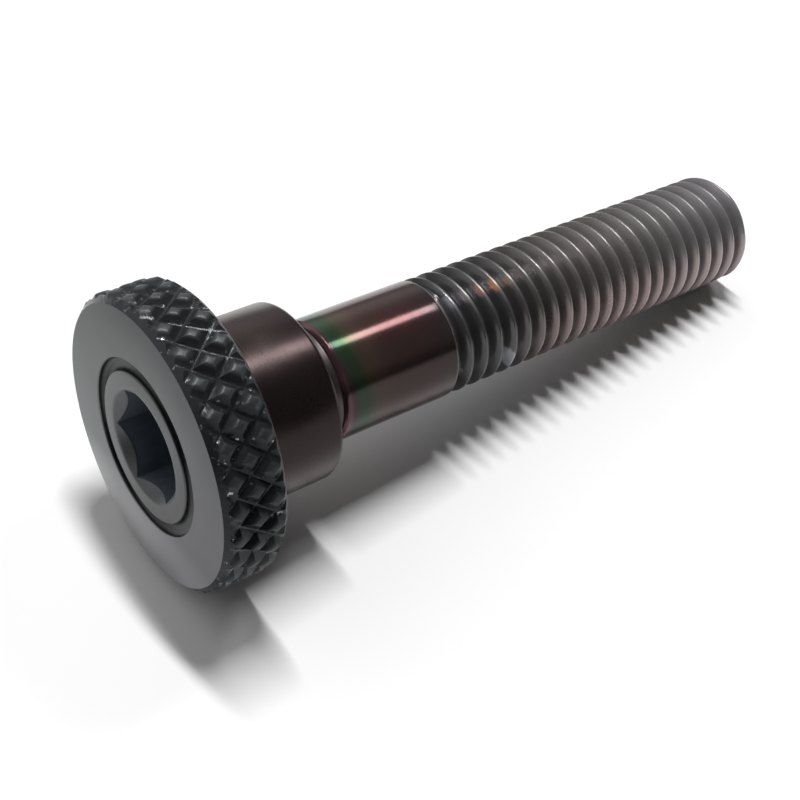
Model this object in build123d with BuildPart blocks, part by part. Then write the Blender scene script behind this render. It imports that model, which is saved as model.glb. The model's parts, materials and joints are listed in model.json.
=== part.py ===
"""Seatpost clamp bolt: an M8 single-bolt clamp screw with a wide diamond-knurled head, lying at rest.

One turned and rolled piece. It lies on the back edge of its head and on the end of its thread, on the
plane z = 0, with the head towards -X. The thread is a plain bar of its crest diameter with its lead-in
chamfers. Millimetres, +Z up.
"""
import math
import os

from build123d import *

# Head: a disc with a diamond knurl round its rim and a ring groove in its flat face
head_diameter = 18.4
head_thickness = 4.0
front_chamfer = 0.5
back_chamfer = 0.4
ring_outer_diameter = 11.0
ring_inner_diameter = 9.4
ring_depth = 0.5

# Knurl: two crossing families of straight V grooves, leaning either way from the axis
knurl_teeth = 30
knurl_lean = 40.0
knurl_depth = 0.5
knurl_v_angle = 90.0

# Socket for a 6 mm hexagon key, with a countersunk mouth and a drill point below
key_across_flats = 6.0
key_depth = 5.2
key_turn = 18.1
mouth_diameter = 7.2
mouth_angle = 90.0
drill_point_angle = 118.0

# Collar, relief groove and plain shank
collar_diameter = 11.5
collar_length = 6.1
collar_chamfer = 0.2
relief_diameter = 7.4
relief_length = 1.4
shank_diameter = 8.0
shank_length = 9.0
shank_lead_chamfer = 0.2
shank_end_chamfer = 0.3

# Bar for the M8 x 1.25 thread
thread_diameter = 7.95
thread_length = 28.1
thread_lead_chamfer = 0.3
tip_chamfer = 0.9

# How far the cutting shape of a groove stands out of the rim
groove_overcut = 1.0

# Sizes that follow from the ones above
head_radius = head_diameter / 2
ring_outer_radius = ring_outer_diameter / 2
ring_inner_radius = ring_inner_diameter / 2
key_radius = key_across_flats / 2
mouth_radius = mouth_diameter / 2
collar_radius = collar_diameter / 2
relief_radius = relief_diameter / 2
shank_radius = shank_diameter / 2
thread_radius = thread_diameter / 2
collar_end = head_thickness + collar_length
shank_start = collar_end + relief_length
shank_end = shank_start + shank_length
bolt_length = shank_end + thread_length

# The rest: two knurl lands of the head's back edge and the end of the full thread touch the surface
knurl_step = 360 / knurl_teeth
head_seat_radius = head_radius * math.cos(math.radians(knurl_step / 2))
head_seat_place = head_thickness - back_chamfer
tip_seat_place = bolt_length - tip_chamfer
tilt = math.atan2(head_seat_radius - thread_radius, tip_seat_place - head_seat_place)
face_height = head_seat_radius * math.cos(tilt) + head_seat_place * math.sin(tilt)

# The bolt's reach along X, from its lowest face corner to the upper edge of its tip, has its middle at 0
face_radius = head_radius - front_chamfer
tip_radius = thread_radius - tip_chamfer
reach_back = -face_radius * math.sin(tilt)
reach_front = bolt_length * math.cos(tilt) + tip_radius * math.sin(tilt)
face_place = -(reach_back + reach_front) / 2

# Planes of the lying bolt: across its axis at the head's face, and along its axis (radius, length)
across = Plane(
    origin=(face_place, 0, face_height),
    x_dir=(math.sin(tilt), 0, math.cos(tilt)),
    z_dir=(math.cos(tilt), 0, -math.sin(tilt)),
)
along = Plane(origin=across.origin, x_dir=across.x_dir, z_dir=-across.y_dir)
axis = Axis(across.origin, across.z_dir)

# One plane square to each knurl groove, tangent to the rim at the middle of its band
band_middle = (front_chamfer + head_thickness - back_chamfer) / 2
groove_planes = []
for tooth in range(knurl_teeth):
    turn = math.radians((tooth + 0.5) * knurl_step)
    outward = across.x_dir * math.cos(turn) + across.y_dir * math.sin(turn)
    sideways = across.z_dir.cross(outward)
    for lean in (-knurl_lean, knurl_lean):
        swing = math.radians(lean)
        groove_planes.append(
            Plane(
                origin=across.origin + across.z_dir * band_middle + outward * head_radius,
                x_dir=outward,
                z_dir=across.z_dir * math.cos(swing) + sideways * math.sin(swing),
            )
        )

with BuildPart() as clamp_bolt:
    # Turned blank, from the head's face to the tip
    with BuildSketch(along):
        with BuildLine():
            Polyline(
                (0, 0),
                (face_radius, 0),
                (head_radius, front_chamfer),
                (head_radius, head_thickness - back_chamfer),
                (head_radius - back_chamfer, head_thickness),
                (collar_radius, head_thickness),
                (collar_radius, collar_end - collar_chamfer),
                (collar_radius - collar_chamfer, collar_end),
                (relief_radius, collar_end),
                (relief_radius, shank_start),
                (shank_radius - shank_lead_chamfer, shank_start),
                (shank_radius, shank_start + shank_lead_chamfer),
                (shank_radius, shank_end - shank_end_chamfer),
                (shank_radius - shank_end_chamfer, shank_end),
                (thread_radius - thread_lead_chamfer, shank_end),
                (thread_radius, shank_end + thread_lead_chamfer),
                (thread_radius, bolt_length - tip_chamfer),
                (tip_radius, bolt_length),
                (0, bolt_length),
                close=True,
            )
        make_face()
    revolve(axis=axis)

    # Ring groove round the boss, and the countersunk mouth of the socket
    with BuildSketch(along):
        with Locations(((ring_outer_radius + ring_inner_radius) / 2, 0)):
            Rectangle(ring_outer_radius - ring_inner_radius, 2 * ring_depth)
        with BuildLine():
            mouth_depth = mouth_radius / math.tan(math.radians(mouth_angle / 2))
            Polyline((0, 0), (mouth_radius, 0), (0, mouth_depth), close=True)
        make_face()
    revolve(axis=axis, mode=Mode.SUBTRACT)

    # Hexagon, then the drill point at its bottom
    with BuildSketch(across):
        RegularPolygon(key_radius, 6, major_radius=False, rotation=key_turn)
    extrude(amount=key_depth, mode=Mode.SUBTRACT)
    with BuildSketch(along):
        with BuildLine():
            point_depth = key_radius / math.tan(math.radians(drill_point_angle / 2))
            Polyline((0, key_depth), (key_radius, key_depth), (0, key_depth + point_depth), close=True)
        make_face()
    revolve(axis=axis, mode=Mode.SUBTRACT)

    # Diamond knurl: one V, placed on every groove's plane and cut through the rim at once
    with BuildSketch(*groove_planes):
        with BuildLine():
            groove_slope = math.tan(math.radians(knurl_v_angle / 2))
            opening_half = (knurl_depth + groove_overcut) * groove_slope
            Polyline(
                (-knurl_depth, 0),
                (groove_overcut, opening_half),
                (groove_overcut, -opening_half),
                close=True,
            )
        make_face()
    groove_reach = head_thickness / math.cos(math.radians(knurl_lean))
    extrude(amount=groove_reach, both=True, mode=Mode.SUBTRACT)

clamp_bolt.part.label = "clamp_bolt"
os.makedirs("parts", exist_ok=True)
export_step(clamp_bolt.part, "parts/clamp_bolt.step")
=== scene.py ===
import json
import math

import bmesh
import bpy
from mathutils import Matrix, Vector


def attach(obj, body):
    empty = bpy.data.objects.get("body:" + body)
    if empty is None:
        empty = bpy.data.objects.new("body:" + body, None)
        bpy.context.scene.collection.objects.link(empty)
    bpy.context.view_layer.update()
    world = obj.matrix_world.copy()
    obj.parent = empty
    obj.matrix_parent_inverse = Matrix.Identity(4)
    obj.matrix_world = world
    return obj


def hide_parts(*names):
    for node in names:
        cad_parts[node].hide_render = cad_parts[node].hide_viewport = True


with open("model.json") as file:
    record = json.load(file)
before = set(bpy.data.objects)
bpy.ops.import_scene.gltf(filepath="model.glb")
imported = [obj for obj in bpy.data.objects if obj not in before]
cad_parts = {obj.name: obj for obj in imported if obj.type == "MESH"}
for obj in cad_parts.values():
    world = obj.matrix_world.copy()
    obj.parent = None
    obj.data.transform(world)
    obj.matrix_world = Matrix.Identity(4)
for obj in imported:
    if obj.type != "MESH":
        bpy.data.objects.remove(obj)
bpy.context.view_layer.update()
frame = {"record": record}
print("frame loaded")

# sizes are in millimetres along the bolt: radius from its axis, place from the head's face
mm = 0.001
finishSlots = ["faceFinish", "knurlFinish", "shaftFinish", "threadFinish", "socketFinish"]


def profileOf(corners, steps=4):
    # corners are (radius, place, rounding); each rounded one becomes an arc between its two edges
    points = []
    for i, (radius, place, rounding) in enumerate(corners):
        here = Vector((radius, place))
        if rounding == 0 or i in (0, len(corners) - 1):
            points.append(here)
            continue
        before = (Vector(corners[i - 1][:2]) - here).normalized()
        after = (Vector(corners[i + 1][:2]) - here).normalized()
        half = before.angle(after) / 2
        back = rounding / math.tan(half)
        centre = here + (before + after).normalized() * rounding / math.sin(half)
        start = here + before * back - centre
        end = here + after * back - centre
        for step in range(steps + 1):
            share = step / steps
            spoke = start.lerp(end, share).normalized() * rounding
            points.append(centre + spoke)
    return points


def ringAt(mesh, columns, pointOf):
    # pointOf gives (radius, place) for an angle round the axis
    ring = []
    for column in range(columns):
        angle = 2 * math.pi * column / columns
        radius, place = pointOf(angle)
        ring.append(mesh.verts.new((radius * math.cos(angle), radius * math.sin(angle), place)))
    return ring


def skin(mesh, rings, slot):
    for lower, upper in zip(rings, rings[1:]):
        for column in range(len(lower)):
            following = (column + 1) % len(lower)
            face = mesh.faces.new((lower[column], lower[following], upper[following], upper[column]))
            face.material_index = finishSlots.index(slot)


def lathe(mesh, corners, columns, slot):
    rings = [ringAt(mesh, columns, lambda angle, p=point: (p.x, p.y)) for point in profileOf(corners)]
    skin(mesh, rings, slot)
    return rings


def capRing(mesh, ring, place, slot):
    middle = mesh.verts.new((0, 0, place))
    for column in range(len(ring)):
        face = mesh.faces.new((ring[column], ring[(column + 1) % len(ring)], middle))
        face.material_index = finishSlots.index(slot)


def edgeBetween(first, second):
    for edge in first.link_edges:
        if second in edge.verts:
            return edge
    return None


def ringEdges(ring):
    return [edgeBetween(ring[i], ring[(i + 1) % len(ring)]) for i in range(len(ring))]


def bridge(mesh, edgesA, edgesB, slot):
    made = bmesh.ops.bridge_loops(mesh, edges=edgesA + edgesB)
    for face in made["faces"]:
        face.material_index = finishSlots.index(slot)


def openEdgesNear(mesh, low, high, leastRadius=0):
    # boundary edges whose both ends lie between two places along the bolt
    found = []
    for edge in mesh.edges:
        if edge.is_boundary and all(low <= v.co.z <= high and v.co.xy.length >= leastRadius
                                    for v in edge.verts):
            found.append(edge)
    return found


head = {
    "radius": 9.2, "faceRadius": 8.7, "thickness": 4.0, "frontChamfer": 0.5, "backChamfer": 0.4,
    "ringOuter": 5.5, "ringInner": 4.7, "ringDepth": 0.42, "ringRound": 0.25, "edgeRound": 0.1,
    "columns": 360,
}


def makeFace(mesh):
    # flat face with its ring groove, boss and the mouth of the socket, from the rim inwards
    edge = head["edgeRound"]
    corners = [
        (head["faceRadius"], 0, 0),
        (head["faceRadius"] - 0.04, 0, 0),
        (head["ringOuter"], 0, edge),
        (head["ringOuter"], head["ringDepth"], head["ringRound"]),
        (head["ringInner"], head["ringDepth"], head["ringRound"]),
        (head["ringInner"], 0, edge),
        (socket["mouthRadius"] + 0.2, 0, 0),
    ]
    rings = lathe(mesh, corners, head["columns"], "faceFinish")
    return rings[0], rings[-1]


socket = {
    "across": 6.0, "depth": 5.2, "turn": 18.1, "mouthRadius": 3.6, "softness": 0.05, "drillAngle": 118.0,
    "columns": 360,
}


def hexRadius(angle):
    # distance from the axis to the hexagon's wall; its corners point at the socket's turn
    sector = math.radians(60)
    away = (angle - math.radians(socket["turn"]) + sector / 2) % sector - sector / 2
    toFlat = sector / 2 - abs(away)
    return socket["across"] / 2 / math.cos(toFlat)


def makeSocket(mesh, outerRing):
    # countersunk mouth, hexagon walls, flat bottom and drill point
    mouth, soft, depth = socket["mouthRadius"], socket["softness"], socket["depth"]
    drillRadius = socket["across"] / 2
    drillSlope = math.tan(math.radians(socket["drillAngle"] / 2))

    def onCone(share):
        def point(angle):
            radius = (mouth - soft) * (1 - share) + (hexRadius(angle) + soft) * share
            return radius, mouth - radius
        return point

    def onWall(share):
        def point(angle):
            top = mouth - hexRadius(angle) + soft
            return hexRadius(angle), top + (depth - top) * share
        return point

    lip = [lambda a: (mouth + soft, 0), lambda a: (mouth + soft * 0.3, soft * 0.15),
           lambda a: (mouth - soft, soft)]
    foot = [lambda a: (hexRadius(a) + soft * 0.3, mouth - hexRadius(a) - soft * 0.1), onWall(0)]
    cone = lip + [onCone(share) for share in (0.25, 0.5, 0.75, 1)] + foot
    rings = [outerRing] + [ringAt(mesh, socket["columns"], point) for point in cone]
    skin(mesh, rings, "faceFinish")
    walls = [onWall(share) for share in (0.25, 0.5, 0.75, 1)]
    walls.append(lambda a: (drillRadius * 0.995, depth))
    walls.append(lambda a: (drillRadius / 2, depth + drillRadius / 2 / drillSlope))
    rings = [rings[-1]] + [ringAt(mesh, socket["columns"], point) for point in walls]
    skin(mesh, rings, "socketFinish")
    capRing(mesh, rings[-1], depth + drillRadius / drillSlope, "socketFinish")


knurl = {
    "teeth": 30, "lean": 40.0, "depth": 0.5, "endRise": 0.4, "land": 0.055, "valley": 0.045,
    "rowsEachWay": 2,
}


def makeKnurl(mesh):
    # the rim as an unrolled sheet of diamonds (round the rim, along the axis, height), cut by the two
    # chamfers while it is flat and then rolled up
    step = 2 * math.pi * head["radius"] / knurl["teeth"]
    slope = math.tan(math.radians(knurl["lean"]))
    bandLow = head["frontChamfer"]
    bandHigh = head["thickness"] - head["backChamfer"]
    middle = (bandLow + bandHigh) / 2
    # the V is 90 degrees, so a groove is as wide on each side as it is deep
    margin = knurl["depth"] / (step * math.cos(math.radians(knurl["lean"])))
    land, valley = knurl["land"], knurl["valley"]
    half = [0, valley, margin * 0.55, margin - land, margin, margin + land, 0.5]
    stations = half + [1 - s for s in reversed(half[:-1])]

    def cut(share):
        # depth of one family's groove at a share of its spacing, with a soft lip and bottom
        gap = min(share, 1 - share)
        if gap <= valley:
            return 1 - valley / margin * 0.75
        if gap >= margin + land:
            return 0.0
        if gap >= margin - land:
            reach = (margin + land - gap) / (2 * land)
            return reach * reach * land / margin
        return 1 - gap / margin

    sheet = bmesh.new()
    for row in range(-knurl["rowsEachWay"], knurl["rowsEachWay"] + 1):
        for tooth in range(knurl["teeth"]):
            spots = {}
            for i, u in enumerate(stations):
                for j, v in enumerate(stations):
                    lengthwise = (row + v - u) / (2 * slope) * step
                    around = (2 * tooth + row + 1 + u + v) / 2 * step
                    fade = 1 - knurl["endRise"] * min(1, (lengthwise / (bandHigh - middle)) ** 2)
                    depth = max(cut(u), cut(v)) * knurl["depth"] * fade
                    spots[i, j] = sheet.verts.new((around, middle + lengthwise, -depth))
            last = len(stations) - 1
            for i in range(last):
                for j in range(last):
                    a, b = spots[i, j], spots[i + 1, j]
                    c, d = spots[i + 1, j + 1], spots[i, j + 1]
                    sameHalf = (stations[i] < 0.5) == (stations[j] < 0.5)
                    for corners in ((a, b, c), (a, c, d)) if sameHalf else ((a, b, d), (b, c, d)):
                        sheet.faces.new(corners)
    bmesh.ops.remove_doubles(sheet, verts=sheet.verts, dist=1e-4)
    for place, outward in ((bandLow, -1), (bandHigh, 1)):
        whole = sheet.verts[:] + sheet.edges[:] + sheet.faces[:]
        bmesh.ops.bisect_plane(sheet, geom=whole, dist=1e-5, plane_co=(0, place, 0),
                               plane_no=Vector((0, outward, 1)).normalized(), clear_outer=True)
    for vert in sheet.verts:
        angle = vert.co.x / head["radius"]
        radius = head["radius"] + vert.co.z
        vert.co = (radius * math.cos(angle), radius * math.sin(angle), vert.co.y)
    bmesh.ops.remove_doubles(sheet, verts=sheet.verts, dist=2e-4)
    for face in sheet.faces:
        face.material_index = finishSlots.index("knurlFinish")
    rolled = bpy.data.meshes.new("rolledRim")
    sheet.to_mesh(rolled)
    sheet.free()
    mesh.from_mesh(rolled)
    bpy.data.meshes.remove(rolled)


shaft = {
    "collarRadius": 5.75, "collarEnd": 10.1, "collarRound": 0.35, "reliefRadius": 3.7,
    "shankStart": 11.5, "shankRadius": 4.0, "leadChamfer": 0.2, "shankEnd": 20.5,
    "endChamfer": 0.3, "neckRound": 0.1, "reliefRound": 0.12, "shoulderRound": 0.06, "leadRound": 0.15,
    "columns": 240,
}


def makeShaft(mesh):
    # underside of the head, collar, relief groove and shank
    collar, relief, shank = shaft["collarRadius"], shaft["reliefRadius"], shaft["shankRadius"]
    end, start, lead = shaft["collarEnd"], shaft["shankStart"], shaft["leadChamfer"]
    foot = shaft["shankEnd"] - shaft["endChamfer"]
    corners = [
        (head["radius"] - head["backChamfer"], head["thickness"], 0),
        (collar, head["thickness"], shaft["neckRound"]),
        (collar, (head["thickness"] + end) / 2, 0),
        (collar, end, shaft["collarRound"]),
        (relief, end, shaft["reliefRound"]),
        (relief, start, shaft["reliefRound"]),
        (shank - lead, start, shaft["shoulderRound"]),
        (shank, start + lead, shaft["leadRound"]),
        # plain rings that keep the long face's shading even up to its ends
        (shank, start + 1.5, 0),
        (shank, foot - 0.6, 0),
        (shank, foot - 0.15, 0),
    ]
    rings = lathe(mesh, corners, shaft["columns"], "shaftFinish")
    return rings[0], rings[-1]


thread = {
    "radius": 3.975, "pitch": 1.25, "length": 28.1, "firstCrest": 21.105, "tipChamfer": 0.9,
    "depthShare": 0.61343, "crestShare": 1 / 16, "crestRound": 0.02, "rootRound": 0.05, "columns": 120,
}
boltLength = shaft["shankEnd"] + thread["length"]
# the wound sheet is cut off here, and joined to the shank and to the tip's flat end
threadStart = shaft["shankEnd"] - shaft["endChamfer"] - 0.1
threadEnd = boltLength - 0.04


def threadProfile():
    # one pitch of the thread as (share of the pitch from its crest, depth), corners softened
    pitch = thread["pitch"]
    depth = thread["depthShare"] * pitch
    flank = depth * math.tan(math.radians(30)) / pitch
    crestEdge = thread["crestShare"]
    rootEdge = crestEdge + flank
    soft, deep = thread["crestRound"], thread["rootRound"]
    rise = depth / flank
    half = [
        (0, 0), (crestEdge - soft, 0.0), (crestEdge, soft * rise * 0.25), (crestEdge + soft, soft * rise),
        ((crestEdge + rootEdge) / 2, depth / 2), (rootEdge - deep, depth - deep * rise),
        (rootEdge, depth - deep * rise * 0.25), (rootEdge + deep * 0.6, depth),
    ]
    return half + [(1 - share, drop) for share, drop in reversed(half[1:])]


def makeThread(mesh):
    # one long sheet wound round the axis, its two ends limited by the shank's and the tip's chamfers
    pitch, columns = thread["pitch"], thread["columns"]
    profile = threadProfile()
    shankFoot = shaft["shankEnd"] - shaft["endChamfer"]
    tipHead = boltLength - thread["tipChamfer"]

    def limited(radius, place):
        radius = min(radius, thread["radius"] - max(0.0, place - tipHead))
        return max(radius, min(shaft["shankRadius"], shaft["shankRadius"] - (place - shankFoot)))

    firstTurn = int((shaft["shankEnd"] - thread["firstCrest"]) / pitch) - 3
    lastTurn = int((boltLength - thread["firstCrest"]) / pitch) + 3
    rows = []
    for turn in range(firstTurn, lastTurn):
        for share, drop in profile:
            row = []
            for column in range(columns):
                angle = 2 * math.pi * column / columns
                place = thread["firstCrest"] + pitch * (turn + share + column / columns)
                radius = limited(thread["radius"] - drop, place)
                row.append(mesh.verts.new((radius * math.cos(angle), radius * math.sin(angle), place)))
            rows.append(row)
    for level in range(len(rows) - len(profile) - 1):
        for column in range(columns):
            seam = column == columns - 1
            right = 0 if seam else column + 1
            rise = len(profile) if seam else 0
            corners = (rows[level][column], rows[level + rise][right],
                       rows[level + rise + 1][right], rows[level + 1][column])
            mesh.faces.new(corners).material_index = finishSlots.index("threadFinish")
    loose = [vert for row in rows for vert in row if not vert.link_faces]
    bmesh.ops.delete(mesh, geom=loose, context="VERTS")
    for place, outward in ((threadStart, -1), (threadEnd, 1)):
        whole = mesh.verts[:] + mesh.edges[:] + mesh.faces[:]
        bmesh.ops.bisect_plane(mesh, geom=whole, dist=1e-5, plane_co=(0, 0, place),
                               plane_no=(0, 0, outward), clear_outer=True)
    tipRadius = thread["radius"] - thread["tipChamfer"]
    return lathe(mesh, [(tipRadius - 0.02, boltLength - 0.01, 0), (tipRadius - 0.12, boltLength, 0)],
                 columns, "threadFinish")


# the bolt's own axes, from the mount that lies on its shank
mounts = {mount["name"]: mount for mount in frame["record"]["mounts"]}
shankMiddle = (shaft["shankStart"] + shaft["leadChamfer"] + shaft["shankEnd"] - shaft["endChamfer"]) / 2
alongAxis = Vector(mounts["shank"]["axis"]).normalized()
upperSide = Vector((-alongAxis.z, 0, alongAxis.x))
nearSide = alongAxis.cross(upperSide)
faceCentre = Vector(mounts["shank"]["pos_m"]) - alongAxis * shankMiddle * mm
boltPlace = Matrix.Translation(faceCentre) @ Matrix((upperSide, nearSide, alongAxis)).transposed().to_4x4()


def makeBolt():
    mesh = bmesh.new()
    tipRings = makeThread(mesh)
    bridge(mesh, openEdgesNear(mesh, threadEnd - 0.01, threadEnd + 0.01),
           ringEdges(tipRings[0]), "threadFinish")
    capRing(mesh, tipRings[-1], boltLength, "threadFinish")
    underside, shankRing = makeShaft(mesh)
    bridge(mesh, openEdgesNear(mesh, threadStart - 1e-3, threadStart + 1e-3),
           ringEdges(shankRing), "shaftFinish")
    makeKnurl(mesh)
    faceRing, mouthRing = makeFace(mesh)
    makeSocket(mesh, mouthRing)
    front = openEdgesNear(mesh, 0.01, head["frontChamfer"] + 0.05, head["faceRadius"] - 1)
    bridge(mesh, front, ringEdges(faceRing), "knurlFinish")
    backPlace = head["thickness"] - head["backChamfer"]
    back = openEdgesNear(mesh, backPlace - 0.05, head["thickness"] - 0.001, head["faceRadius"] - 1)
    bridge(mesh, back, ringEdges(underside), "faceFinish")
    bmesh.ops.recalc_face_normals(mesh, faces=mesh.faces)
    print("open edges", sum(edge.is_boundary for edge in mesh.edges), "faces", len(mesh.faces))
    data = bpy.data.meshes.new("clampBolt")
    mesh.to_mesh(data)
    mesh.free()
    data.transform(boltPlace @ Matrix.Scale(mm, 4))
    data.shade_smooth()
    data.set_sharp_from_angle(angle=math.radians(32))
    bolt = bpy.data.objects.new("clampBolt", data)
    bpy.context.scene.collection.objects.link(bolt)
    return bolt


bolt = makeBolt()
print("bolt modelled")


class Socket:
    # a node's output that can be used in sums; each operator adds a Math node
    def __init__(self, nodes, link):
        self.nodes = nodes
        self.link = link

    def maths(self, operation, *values):
        return self.nodes.add("ShaderNodeMath", {"operation": operation}, dict(enumerate(values)))

    def __add__(self, other):
        return self.maths("ADD", self, other)

    def __radd__(self, other):
        return self.maths("ADD", other, self)

    def __sub__(self, other):
        return self.maths("SUBTRACT", self, other)

    def __rsub__(self, other):
        return self.maths("SUBTRACT", other, self)

    def __mul__(self, other):
        return self.maths("MULTIPLY", self, other)

    def __rmul__(self, other):
        return self.maths("MULTIPLY", other, self)

    def __truediv__(self, other):
        return self.maths("DIVIDE", self, other)

    def __rtruediv__(self, other):
        return self.maths("DIVIDE", other, self)

    def __pow__(self, other):
        return self.maths("POWER", self, other)

    def __rpow__(self, other):
        return self.maths("POWER", other, self)


class Nodes:
    # a node tree, filled through one method
    def __init__(self, tree):
        self.tree = tree

    def add(self, kind, settings, values, output=0):
        node = self.tree.nodes.new(kind)
        for setting, value in settings.items():
            if setting == "stops":
                ramp = node.color_ramp.elements
                while len(ramp) < len(value):
                    ramp.new(1)
                for element, (position, colour) in zip(ramp, value):
                    element.position = position
                    element.color = (*colour, 1)
            else:
                setattr(node, setting, value)
        for key, value in values.items():
            self.feed(node.inputs[key], value)
        return Socket(self, node.outputs[output])

    def feed(self, entry, value):
        if isinstance(value, Socket):
            self.tree.links.new(value.link, entry)
        elif isinstance(value, (int, float)):
            entry.default_value = value
        else:
            entry.default_value = (*value, 1) if entry.type == "RGBA" else tuple(value)

    def vector(self, operation, first, second, output=0):
        return self.add("ShaderNodeVectorMath", {"operation": operation}, {0: first, 1: second}, output)

    def mix(self, share, first, second, blend="MIX"):
        settings = {"data_type": "RGBA", "blend_type": blend, "clamp_factor": True}
        return self.add("ShaderNodeMix", settings, {0: share, 6: first, 7: second}, 2)

    def ramp(self, share, stops):
        return self.add("ShaderNodeValToRGB", {"stops": stops}, {0: share})

    def ease(self, value, start, end, low=0.0, high=1.0):
        # smooth step from low to high as the value goes from start to end
        return self.add("ShaderNodeMapRange", {"interpolation_type": "SMOOTHSTEP"},
                        {0: value, 1: start, 2: end, 3: low, 4: high})

    def span(self, value, start, full, leaving, gone):
        # 0 up to start, 1 from full to leaving, 0 again from gone on
        return self.ease(value, start, full) * self.ease(value, gone, leaving)


class Finish(Nodes):
    # one material, with the bolt's own measures (in millimetres and degrees) ready for its masks;
    # the angle is 0 on top, 90 on the near side and -90 on the far side
    def __init__(self, name):
        self.material = bpy.data.materials.new(name)
        self.material.use_nodes = True
        super().__init__(self.material.node_tree)
        self.shader = self.tree.nodes["Principled BSDF"]
        fromFace = self.vector("SUBTRACT", self.add("ShaderNodeTexCoord", {}, {}, "Object"), faceCentre)
        self.place = self.vector("DOT_PRODUCT", fromFace, alongAxis, 1) / mm
        self.up = self.vector("DOT_PRODUCT", fromFace, upperSide, 1) / mm
        self.near = self.vector("DOT_PRODUCT", fromFace, nearSide, 1) / mm
        self.radius = (self.up * self.up + self.near * self.near) ** 0.5
        self.angle = self.near.maths("ARCTAN2", self.near, self.up) * math.degrees(1)
        self.spot = self.add("ShaderNodeCombineXYZ", {}, {0: self.up, 1: self.near, 2: self.place})

    def noise(self, scale, detail=2.0, stretch=(1, 1, 1)):
        # cloudy pattern, about 0 to 1; stretch is (up, near, along) and scale is in waves per millimetre
        spot = self.vector("MULTIPLY", self.spot, stretch)
        return self.add("ShaderNodeTexNoise", {"noise_dimensions": "3D"},
                        {"Vector": spot, "Scale": scale, "Detail": detail})

    def rings(self, value, scale, detail=2.0):
        # tool marks: a pattern that changes with one measure only
        return self.add("ShaderNodeTexNoise", {"noise_dimensions": "1D"},
                        {"W": value, "Scale": scale, "Detail": detail})

    def filmAndPaintedLight(self, stops, measure):
        # colour along one measure, for the oxide film and for painted light and shade; each stop is (measure,
        # colour)
        start, end = stops[0][0], stops[-1][0]
        return self.ramp((measure - start) / (end - start),
                         [((stop - start) / (end - start), colour) for stop, colour in stops])

    def shaded(self, base, shade):
        shades = self.add("ShaderNodeCombineXYZ", {}, {0: shade, 1: shade, 2: shade})
        return self.mix(1.0, base, shades, "MULTIPLY")

    def tinted(self, share, base, tint):
        return self.mix(share, base, self.mix(1.0, base, tint, "MULTIPLY"))

    def bump(self, height, depth):
        # depth is the real height of the marks in millimetres
        return self.add("ShaderNodeBump", {}, {"Height": height, "Distance": depth * mm, "Strength": 1.0})

    def use(self, **values):
        for name, value in values.items():
            self.feed(self.shader.inputs[name.replace("_", " ")], value)
        return self.material


faceFinish = {
    # painted reflection and shade by height above the axis: lighter towards the foot, where the face reflects
    # the lit floor, darker towards the top
    "filmAndPaintedLight": [(-9, (0.5, 0.5, 0.51)), (-4, (0.18, 0.184, 0.187)), (3, (0.122, 0.13, 0.13)),
             (9, (0.05, 0.055, 0.055))],
    "nearSideShadeTint": (0.8, 0.77, 0.8), "nearSideShadeSpan": (-6, 8), "grooveShadeColour": (0.05, 0.053, 0.051),
    "mouthShadeColour": (0.1, 0.104, 0.106), "bossShadeSpan": (4, -2), "bossShadeDarker": 0.33, "roughness": 0.42,
    "roughnessDrift": 0.12, "cloudScale": 0.35, "grainScale": 5.0, "turningScale": 7.0, "ringDepth": 0.0012,
}


def makeFaceFinish():
    finish = Finish("faceFinish")
    clouds = finish.noise(faceFinish["cloudScale"], 3)
    grain = finish.noise(faceFinish["grainScale"], 2)
    turning = finish.rings(finish.radius, faceFinish["turningScale"], 3)
    ringInner, ringOuter, mouth = head["ringInner"], head["ringOuter"], socket["mouthRadius"]
    # painted reflection and shade: lighter at the foot, darker at the top
    base = finish.filmAndPaintedLight(faceFinish["filmAndPaintedLight"], finish.up)
    # painted shade: the face is painted darker towards the near side
    base = finish.tinted(finish.ease(finish.near, *faceFinish["nearSideShadeSpan"]), base, faceFinish["nearSideShadeTint"])
    # painted shade: the boss is painted darker on its lower side
    boss = finish.ease(finish.radius, ringInner + 0.3, ringInner - 0.1)
    boss = boss * finish.ease(finish.up, *faceFinish["bossShadeSpan"])
    shade = 0.86 + clouds * 0.16 + grain * 0.06 + turning * 0.06
    base = finish.shaded(base, shade * (1 - boss * faceFinish["bossShadeDarker"]))
    # painted shade: the ring groove is painted dark
    sunk = finish.span(finish.radius, ringInner - 0.4, ringInner - 0.2, ringOuter + 0.3, ringOuter + 0.5)
    sunk = sunk * finish.ease(finish.place, 0.04, 0.22)
    base = finish.mix(sunk, base, faceFinish["grooveShadeColour"])
    # painted shade: the socket's mouth is painted dark
    mouthShade = finish.ease(finish.place, 0.03, 0.1) * finish.ease(finish.radius, mouth + 0.1, mouth)
    base = finish.mix(mouthShade, base, faceFinish["mouthShadeColour"])
    return finish.use(Base_Color=base, Metallic=1.0,
                      Roughness=faceFinish["roughness"] + (clouds - 0.5) * faceFinish["roughnessDrift"],
                      Normal=finish.bump(turning + grain * 0.35, faceFinish["ringDepth"]))


knurlFinish = {
    "landColour": (0.062, 0.068, 0.072), "grooveShadeColour": (0.03, 0.033, 0.035),
    # painted shade: the rim is painted darker along the near side, by the angle round the bolt
    "darkColour": (0.004, 0.004, 0.005), "rimShadeShare": 0.45, "rimShadeSpan": (25, 60, 105, 125),
    "glintColour": (0.4, 0.42, 0.44), "glintScale": 2.3, "glintSpan": (0.66, 0.74), "glintShare": 0.8,
    "landRoughness": 0.42, "grooveRoughness": 0.26, "specular": 0.2, "metallic": 0.35,
    "patchScale": 0.7, "grainScale": 4.0, "grainDepth": 0.02,
}


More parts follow.
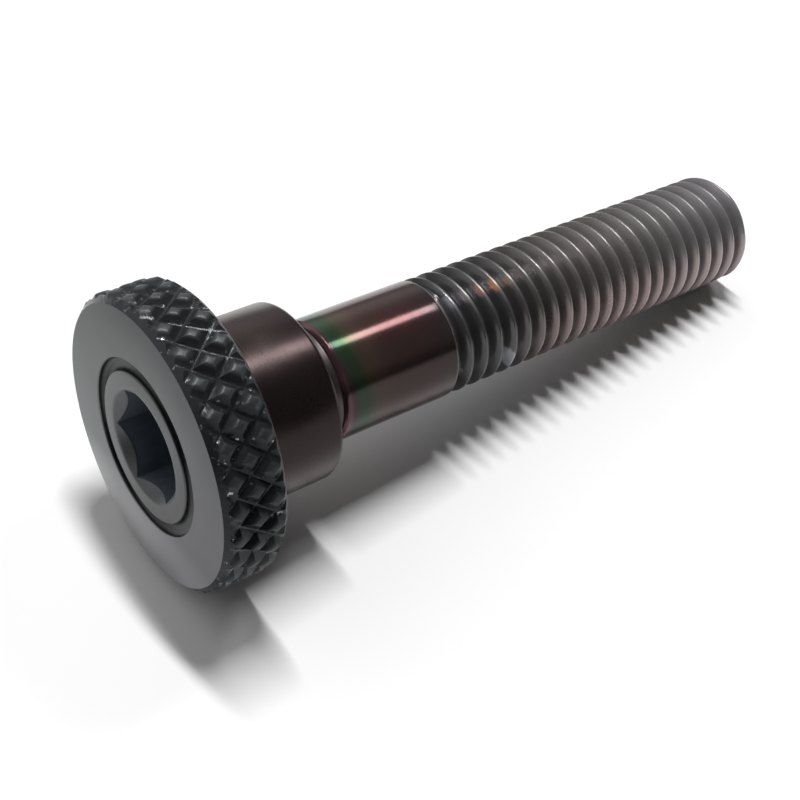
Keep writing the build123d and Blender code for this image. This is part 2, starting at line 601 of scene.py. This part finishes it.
def makeKnurlFinish():
    finish = Finish("knurlFinish")
    grain = finish.noise(knurlFinish["grainScale"], 3)
    patches = finish.noise(knurlFinish["patchScale"], 2)
    land = finish.ease(finish.radius, head["radius"] - 0.16, head["radius"] - 0.02)
    # painted shade: the grooves between the diamonds are painted darker than the lands
    base = finish.mix(land * (0.55 + patches * 0.9), knurlFinish["grooveShadeColour"], knurlFinish["landColour"])
    # painted shade on the near side of the rim
    rimShade = finish.span(finish.angle, *knurlFinish["rimShadeSpan"])
    base = finish.mix(rimShade * knurlFinish["rimShadeShare"], base, knurlFinish["darkColour"])
    # painted glints: here and there the rolled edges are painted bright and more metallic
    glint = finish.ease(finish.noise(knurlFinish["glintScale"], 2), *knurlFinish["glintSpan"])
    glint = glint * finish.ease(finish.radius, head["radius"] - 0.08, head["radius"] - 0.2)
    glint = glint * knurlFinish["glintShare"]
    base = finish.mix(glint, base, knurlFinish["glintColour"])
    gap = knurlFinish["landRoughness"] - knurlFinish["grooveRoughness"]
    roughness = knurlFinish["grooveRoughness"] + land * gap - glint * 0.12 + (grain - 0.5) * 0.1
    return finish.use(Base_Color=base, Metallic=knurlFinish["metallic"] + glint * 0.6, Roughness=roughness,
                      Specular_IOR_Level=knurlFinish["specular"],
                      Normal=finish.bump(grain, knurlFinish["grainDepth"]))


shaftFinish = {
    "collarColour": (0.078, 0.056, 0.056), "reliefColour": (0.08, 0.066, 0.067),
    "underColour": (0.1, 0.097, 0.1), "shankGrey": (0.082, 0.066, 0.064),
    # film on the shank by place; its first stop is painted lighter, a painted light on the wall where the
    # shank rises from the relief
    "filmAndPaintedLight": [(11.4, (0.24, 0.12, 0.14)), (11.7, (0.12, 0.056, 0.066)), (12.05, (0.05, 0.1, 0.066)),
             (12.7, (0.052, 0.1, 0.046)), (13.1, (0.105, 0.1, 0.062)), (14.0, (0.145, 0.088, 0.075)),
             (15.5, (0.125, 0.06, 0.058)), (17.5, (0.12, 0.056, 0.057)), (19.5, (0.1, 0.062, 0.063)),
             (20.3, (0.08, 0.066, 0.067))],
    # spans round the bolt in degrees: where the film drifts along, where it is painted full as a painted
    # highlight along the lamp's streak, and where the near side is painted darker as painted shade
    "drift": 0.45, "driftSpan": (25, 80, 135, 178), "streakBandSpan": (2, 13, 27, 38),
    "nearShadeSpan": (48, 66, 82, 118), "nearShadeDarker": 0.62, "filmShare": 0.45, "earlySpan": (15.0, 13.6),
    "earlyShare": 0.3, "collarRoughness": 0.27, "shankRoughness": 0.15, "reliefDullness": 0.2,
    "metallic": 0.92, "shankDullness": 0.2, "cloudScale": 0.5, "grainScale": 8.0, "turningScale": 9.0,
    "ringDepth": 0.006,
}


def makeShaftFinish():
    finish = Finish("shaftFinish")
    clouds = finish.noise(shaftFinish["cloudScale"], 3)
    grain = finish.noise(shaftFinish["grainScale"], 2, (1, 1, 3))
    turning = finish.rings(finish.place, shaftFinish["turningScale"], 3)
    shankStart = shaft["shankStart"]
    onShank = finish.ease(finish.place, shaft["collarEnd"] + 0.2, shankStart)
    onCollar = finish.ease(finish.radius, shaft["collarRadius"] + 0.15, shaft["collarRadius"] + 0.05)
    collar = finish.mix(onCollar, shaftFinish["underColour"], shaftFinish["collarColour"])
    sunk = finish.ease(finish.radius, shaft["shankRadius"], shaft["reliefRadius"] + 0.05)
    sunk = sunk * finish.ease(finish.place, shankStart + 0.1, shankStart - 0.1)
    # the film's bands run a little further along on the near side; on the upper side, along the lamp's
    # streak, the film is painted full, a painted highlight
    drifted = finish.place - finish.span(finish.angle, *shaftFinish["driftSpan"]) * shaftFinish["drift"]
    # painted highlight: the film is painted full along the lamp's streak
    streakBand = finish.span(finish.angle, *shaftFinish["streakBandSpan"]) * (1 - shaftFinish["filmShare"])
    early = finish.ease(drifted, *shaftFinish["earlySpan"]) * shaftFinish["earlyShare"]
    filmAndPaintedLight = finish.mix(shaftFinish["filmShare"] + early + streakBand, shaftFinish["shankGrey"],
                      finish.filmAndPaintedLight(shaftFinish["filmAndPaintedLight"], drifted))
    base = finish.mix(sunk, finish.mix(onShank, collar, filmAndPaintedLight), shaftFinish["reliefColour"])
    # painted shade: the near side is painted darker
    paintedNearShade = finish.span(finish.angle, *shaftFinish["nearShadeSpan"]) * (1 - sunk) * shaftFinish["nearShadeDarker"]
    shade = 0.85 + clouds * 0.2 + turning * 0.08 + grain * 0.04
    base = finish.shaded(base, shade * (1 - paintedNearShade))
    gap = shaftFinish["shankRoughness"] - shaftFinish["collarRoughness"]
    roughness = shaftFinish["collarRoughness"] + onShank * gap + sunk * shaftFinish["reliefDullness"]
    return finish.use(Base_Color=base, Roughness=roughness + (clouds - 0.5) * 0.08,
                      Metallic=shaftFinish["metallic"] - onShank * shaftFinish["shankDullness"],
                      Normal=finish.bump(turning + grain * 0.15, shaftFinish["ringDepth"]))


threadFinish = {
    # film by place over the whole thread, and painted glints in orange and pink over the crests that face up
    "filmAndPaintedLight": [(20.4, (0.08, 0.079, 0.084)), (24.0, (0.085, 0.085, 0.088)), (27.0, (0.115, 0.105, 0.105)),
             (30.0, (0.16, 0.145, 0.142)), (36.0, (0.205, 0.186, 0.184)), (44.0, (0.25, 0.238, 0.243)),
             (48.6, (0.27, 0.262, 0.272))],
    "crestGlintColours": [(21.0, (0.24, 0.24, 0.27)), (22.0, (0.24, 0.22, 0.25)), (23.0, (0.26, 0.16, 0.16)),
                  (23.8, (0.38, 0.16, 0.09)), (25.0, (0.44, 0.24, 0.1)), (26.0, (0.28, 0.19, 0.15)),
                  (27.5, (0.16, 0.13, 0.13)), (29.0, (0.12, 0.105, 0.105))],
    "crestGlintEnd": (27.5, 25.5), "crestGlintSpan": (10, 16, 22, 30),
    # painted reflection underneath the later turns: redder and lighter, with more painted shade in the roots;
    # painted shade darker over the top
    "underReflectionTint": (1.0, 0.86, 0.84), "underTintSpan": (52, 82, 135, 178), "underTintStart": (26, 29),
    "underReflectionSpan": (45, 80, 135, 178), "underReflectionStart": (25.5, 29.5), "rootShade": (0.2, 0.45),
    "topShadeSpan": (-178, -130, -25, 10), "topShadeDarker": 0.4,
    "crestHighlightColour": (0.36, 0.35, 0.35), "crestHighlightShare": 0.6, "crestHighlightSpan": (-12, 8, 22, 45),
    "crestHighlightFade": (46, 34, 0.4, 1.0),
    "spot": (25.0, 104.0), "spotReach": (0.6, 13), "spotLean": 12, "spotColour": (0.3, 0.31, 0.33),
    "startRoughness": 0.2, "endRoughness": 0.5, "dullSpan": (23, 40), "metallic": 0.5,
    "cloudScale": 0.6, "grainScale": 4.0, "grainDepth": 0.004,
}


def makeThreadFinish():
    finish = Finish("threadFinish")
    clouds = finish.noise(threadFinish["cloudScale"], 3)
    grain = finish.noise(threadFinish["grainScale"], 2)
    crest = finish.ease(finish.radius, thread["radius"] - 0.42, thread["radius"] - 0.06)
    base = finish.filmAndPaintedLight(threadFinish["filmAndPaintedLight"], finish.place)
    # painted glints on the crests along the lamp's streak
    crestGlint = finish.span(finish.angle, *threadFinish["crestGlintSpan"])
    crestGlint = crestGlint * finish.ease(finish.place, *threadFinish["crestGlintEnd"]) * crest
    base = finish.mix(crestGlint, base, finish.filmAndPaintedLight(threadFinish["crestGlintColours"], finish.place))
    # the flat end has one shade all over
    wound = finish.ease(finish.place, boltLength - 0.005, boltLength - 0.06)
    # painted reflection: the underside of the later turns is tinted redder
    lower = finish.span(finish.angle, *threadFinish["underTintSpan"]) * wound
    lower = lower * finish.ease(finish.place, *threadFinish["underTintStart"])
    base = finish.tinted(lower, base, threadFinish["underReflectionTint"])
    later = finish.ease(finish.place, *threadFinish["underReflectionStart"])
    # painted reflection: the underside of the later turns is painted lighter
    underReflection = finish.span(finish.angle, *threadFinish["underReflectionSpan"]) * wound
    # painted shade: the roots are painted darker than the crests, more so underneath the later turns
    leastRootShade, moreRootShade = threadFinish["rootShade"]
    rootShade = leastRootShade + underReflection * later * moreRootShade
    # painted shade: the turns are painted darker over the top
    upper = finish.span(finish.angle, *threadFinish["topShadeSpan"]) * wound * threadFinish["topShadeDarker"]
    shade = 0.95 + clouds * 0.3 + underReflection * (later * 0.7 - 0.05)
    base = finish.shaded(base, shade * (1 - rootShade + crest * rootShade) * (1 - upper))
    # painted highlight: the very edges of the crests are painted bright on the upper side
    edge = finish.ease(finish.radius, thread["radius"] - 0.07, thread["radius"] - 0.01)
    edge = edge * finish.span(finish.angle, *threadFinish["crestHighlightSpan"])
    edge = edge * finish.ease(finish.place, *threadFinish["crestHighlightFade"])
    base = finish.mix(edge * threadFinish["crestHighlightShare"], base, threadFinish["crestHighlightColour"])
    # a pale spot low on the near side
    spotPlace, spotAngle = threadFinish["spot"]
    reachAlong, reachRound = threadFinish["spotReach"]
    away = finish.place - spotPlace
    lengthwise = away / reachAlong
    roundwise = (finish.angle - spotAngle - away * threadFinish["spotLean"]) / reachRound
    paleSpot = finish.ease(lengthwise * lengthwise + roundwise * roundwise + (grain - 0.5) * 1.2, 1.2, 0.5)
    base = finish.mix(paleSpot, base, threadFinish["spotColour"])
    gap = threadFinish["endRoughness"] - threadFinish["startRoughness"]
    dull = finish.ease(finish.place, *threadFinish["dullSpan"]) * (1 - crest * 0.7)
    roughness = threadFinish["startRoughness"] + dull * gap + (grain - 0.5) * 0.08
    return finish.use(Base_Color=base, Metallic=threadFinish["metallic"], Roughness=roughness,
                      Normal=finish.bump(grain, threadFinish["grainDepth"]))


socketFinish = {
    "colour": (0.14, 0.165, 0.2), "darkColour": (0.09, 0.108, 0.135), "roughness": 0.45, "metallic": 0.4,
    "scratchScale": 3.0, "scratchDepth": 0.01,
}


def makeSocketFinish():
    finish = Finish("socketFinish")
    scratches = finish.noise(socketFinish["scratchScale"], 3, (1, 1, 0.2))
    base = finish.mix(scratches, socketFinish["darkColour"], socketFinish["colour"])
    return finish.use(Base_Color=base, Metallic=socketFinish["metallic"], Roughness=socketFinish["roughness"],
                      Normal=finish.bump(scratches, socketFinish["scratchDepth"]))


makers = {
    "faceFinish": makeFaceFinish, "knurlFinish": makeKnurlFinish, "shaftFinish": makeShaftFinish,
    "threadFinish": makeThreadFinish, "socketFinish": makeSocketFinish,
}
for slot in finishSlots:
    bolt.data.materials.append(makers[slot]())
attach(bolt, "root")
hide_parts("clamp_bolt")
print("finishes made")

floor = {"size": 3.0, "colour": (0.92, 0.92, 0.92), "roughness": 0.7, "specular": 0.2}


def makeFloor():
    mesh = bmesh.new()
    bmesh.ops.create_grid(mesh, x_segments=2, y_segments=2, size=floor["size"] / 2)
    data = bpy.data.meshes.new("floor")
    mesh.to_mesh(data)
    mesh.free()
    ground = bpy.data.objects.new("floor", data)
    bpy.context.scene.collection.objects.link(ground)
    material = bpy.data.materials.new("whitePaper")
    material.use_nodes = True
    shader = material.node_tree.nodes["Principled BSDF"]
    shader.inputs["Base Color"].default_value = (*floor["colour"], 1)
    shader.inputs["Roughness"].default_value = floor["roughness"]
    shader.inputs["Specular IOR Level"].default_value = floor["specular"]
    data.materials.append(material)


daylight = {
    # brightness by how far a direction points to the bright side of the room, 0 to 1
    "bright": (-0.45, 0.9, 0.0), "horizon": 0.16, "fullHeight": 0.42,
    "stops": [(0.0, 0.025), (0.25, 0.03), (0.45, 0.04), (0.6, 0.19), (0.75, 0.75), (1.0, 0.95)],
}


def makeDaylight():
    world = bpy.data.worlds.new("daylight")
    world.use_nodes = True
    bpy.context.scene.world = world
    sky = Nodes(world.node_tree)
    direction = sky.add("ShaderNodeTexCoord", {}, {}, "Generated")
    reach = sky.vector("DOT_PRODUCT", direction, Vector(daylight["bright"]).normalized(), 1)
    share = sky.add("ShaderNodeMapRange", {}, {"Value": reach, "From Min": -1})
    stops = [(position, (brightness, brightness, brightness)) for position, brightness in daylight["stops"]]
    height = sky.add("ShaderNodeSeparateXYZ", {}, {0: direction}, "Z")
    background = sky.tree.nodes["Background"]
    sky.feed(background.inputs["Color"], sky.ramp(share, stops))
    # dimmer towards the horizon
    dimmed = sky.ease(height, 0, daylight["fullHeight"], daylight["horizon"], 1.0)
    sky.feed(background.inputs["Strength"], dimmed)


lamps = {
    "tubeLamp": {"direction": (0.212, 0.165, 1.0), "lies": (-0.12, 1, 0), "distance": 0.9, "width": 0.04,
                 "length": 0.4, "power": 7.0},
    "sideLamp": {"direction": (0.61, 0.075, 0.79), "lies": (0, 1, 0), "distance": 0.9, "width": 0.24,
                 "length": 0.15, "power": 1.0},
}


def makeLamp(name, settings):
    light = bpy.data.lights.new(name, "AREA")
    light.shape = "RECTANGLE"
    light.size = settings["width"]
    light.size_y = settings["length"]
    light.energy = settings["power"]
    lamp = bpy.data.objects.new(name, light)
    bpy.context.scene.collection.objects.link(lamp)
    # the lamp's long side lies as its settings say, and it shines on the middle of the floor
    back = Vector(settings["direction"]).normalized()
    lies = Vector(settings["lies"])
    lengthwise = (lies - back * back.dot(lies)).normalized()
    turn = Matrix((lengthwise.cross(back), lengthwise, back)).transposed().to_4x4()
    lamp.matrix_world = Matrix.Translation(back * settings["distance"]) @ turn


camera = {
    # azimuth 0 looks along +Y and grows towards +X; elevation is how far it looks down
    "azimuth": 37.952, "elevation": 44.849, "roll": 1.2474, "distance": 84.787, "lens": 60.233,
    "aim": (-7.397, -2.764, 6.0),
}


def makeCamera():
    lens = bpy.data.cameras.new("camera")
    lens.lens = camera["lens"]
    lens.clip_start = 0.001
    eye = bpy.data.objects.new("camera", lens)
    bpy.context.scene.collection.objects.link(eye)
    azimuth = math.radians(camera["azimuth"])
    elevation = math.radians(camera["elevation"])
    forward = Vector((math.sin(azimuth) * math.cos(elevation), math.cos(azimuth) * math.cos(elevation),
                      -math.sin(elevation)))
    turn = forward.to_track_quat("-Z", "Y").to_matrix().to_4x4()
    roll = Matrix.Rotation(math.radians(camera["roll"]), 4, "Z")
    stand = (Vector(camera["aim"]) - forward * camera["distance"]) * mm
    eye.matrix_world = Matrix.Translation(stand) @ turn @ roll
    bpy.context.scene.camera = eye


makeFloor()
makeDaylight()
for name, settings in lamps.items():
    makeLamp(name, settings)
makeCamera()
bpy.context.scene.view_settings.view_transform = "Standard"
print("stage and camera set")
